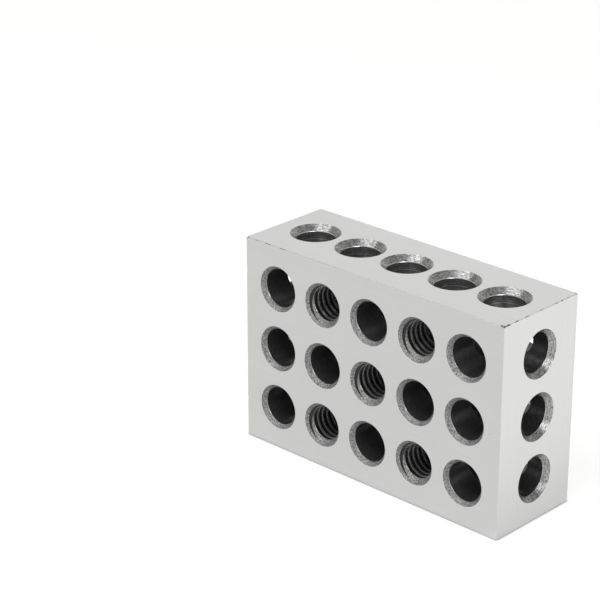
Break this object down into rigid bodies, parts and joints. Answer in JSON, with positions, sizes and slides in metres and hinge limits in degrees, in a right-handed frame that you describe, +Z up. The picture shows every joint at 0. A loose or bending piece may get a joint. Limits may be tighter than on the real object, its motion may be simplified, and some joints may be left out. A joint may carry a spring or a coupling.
{
  "type": "machinist setup block",
  "caption": "Hardened and ground 1-2-3 setup block with countersunk through holes in all three directions, some tapped for clamping screws",
  "frame": {"origin": "centre of the bottom face, on the surface that the block lies on", "axes": "+X along the 3 inch length, +Y through the 1 inch width to the back, +Z up along the 2 inch height"},
  "size_m": [0.0762, 0.0254, 0.0508],
  "materials": {
    "ground_steel": "ground"
  },
  "bodies": {
    "root": {"setup_block": "ground_steel"}
  },
  "joints": []
}
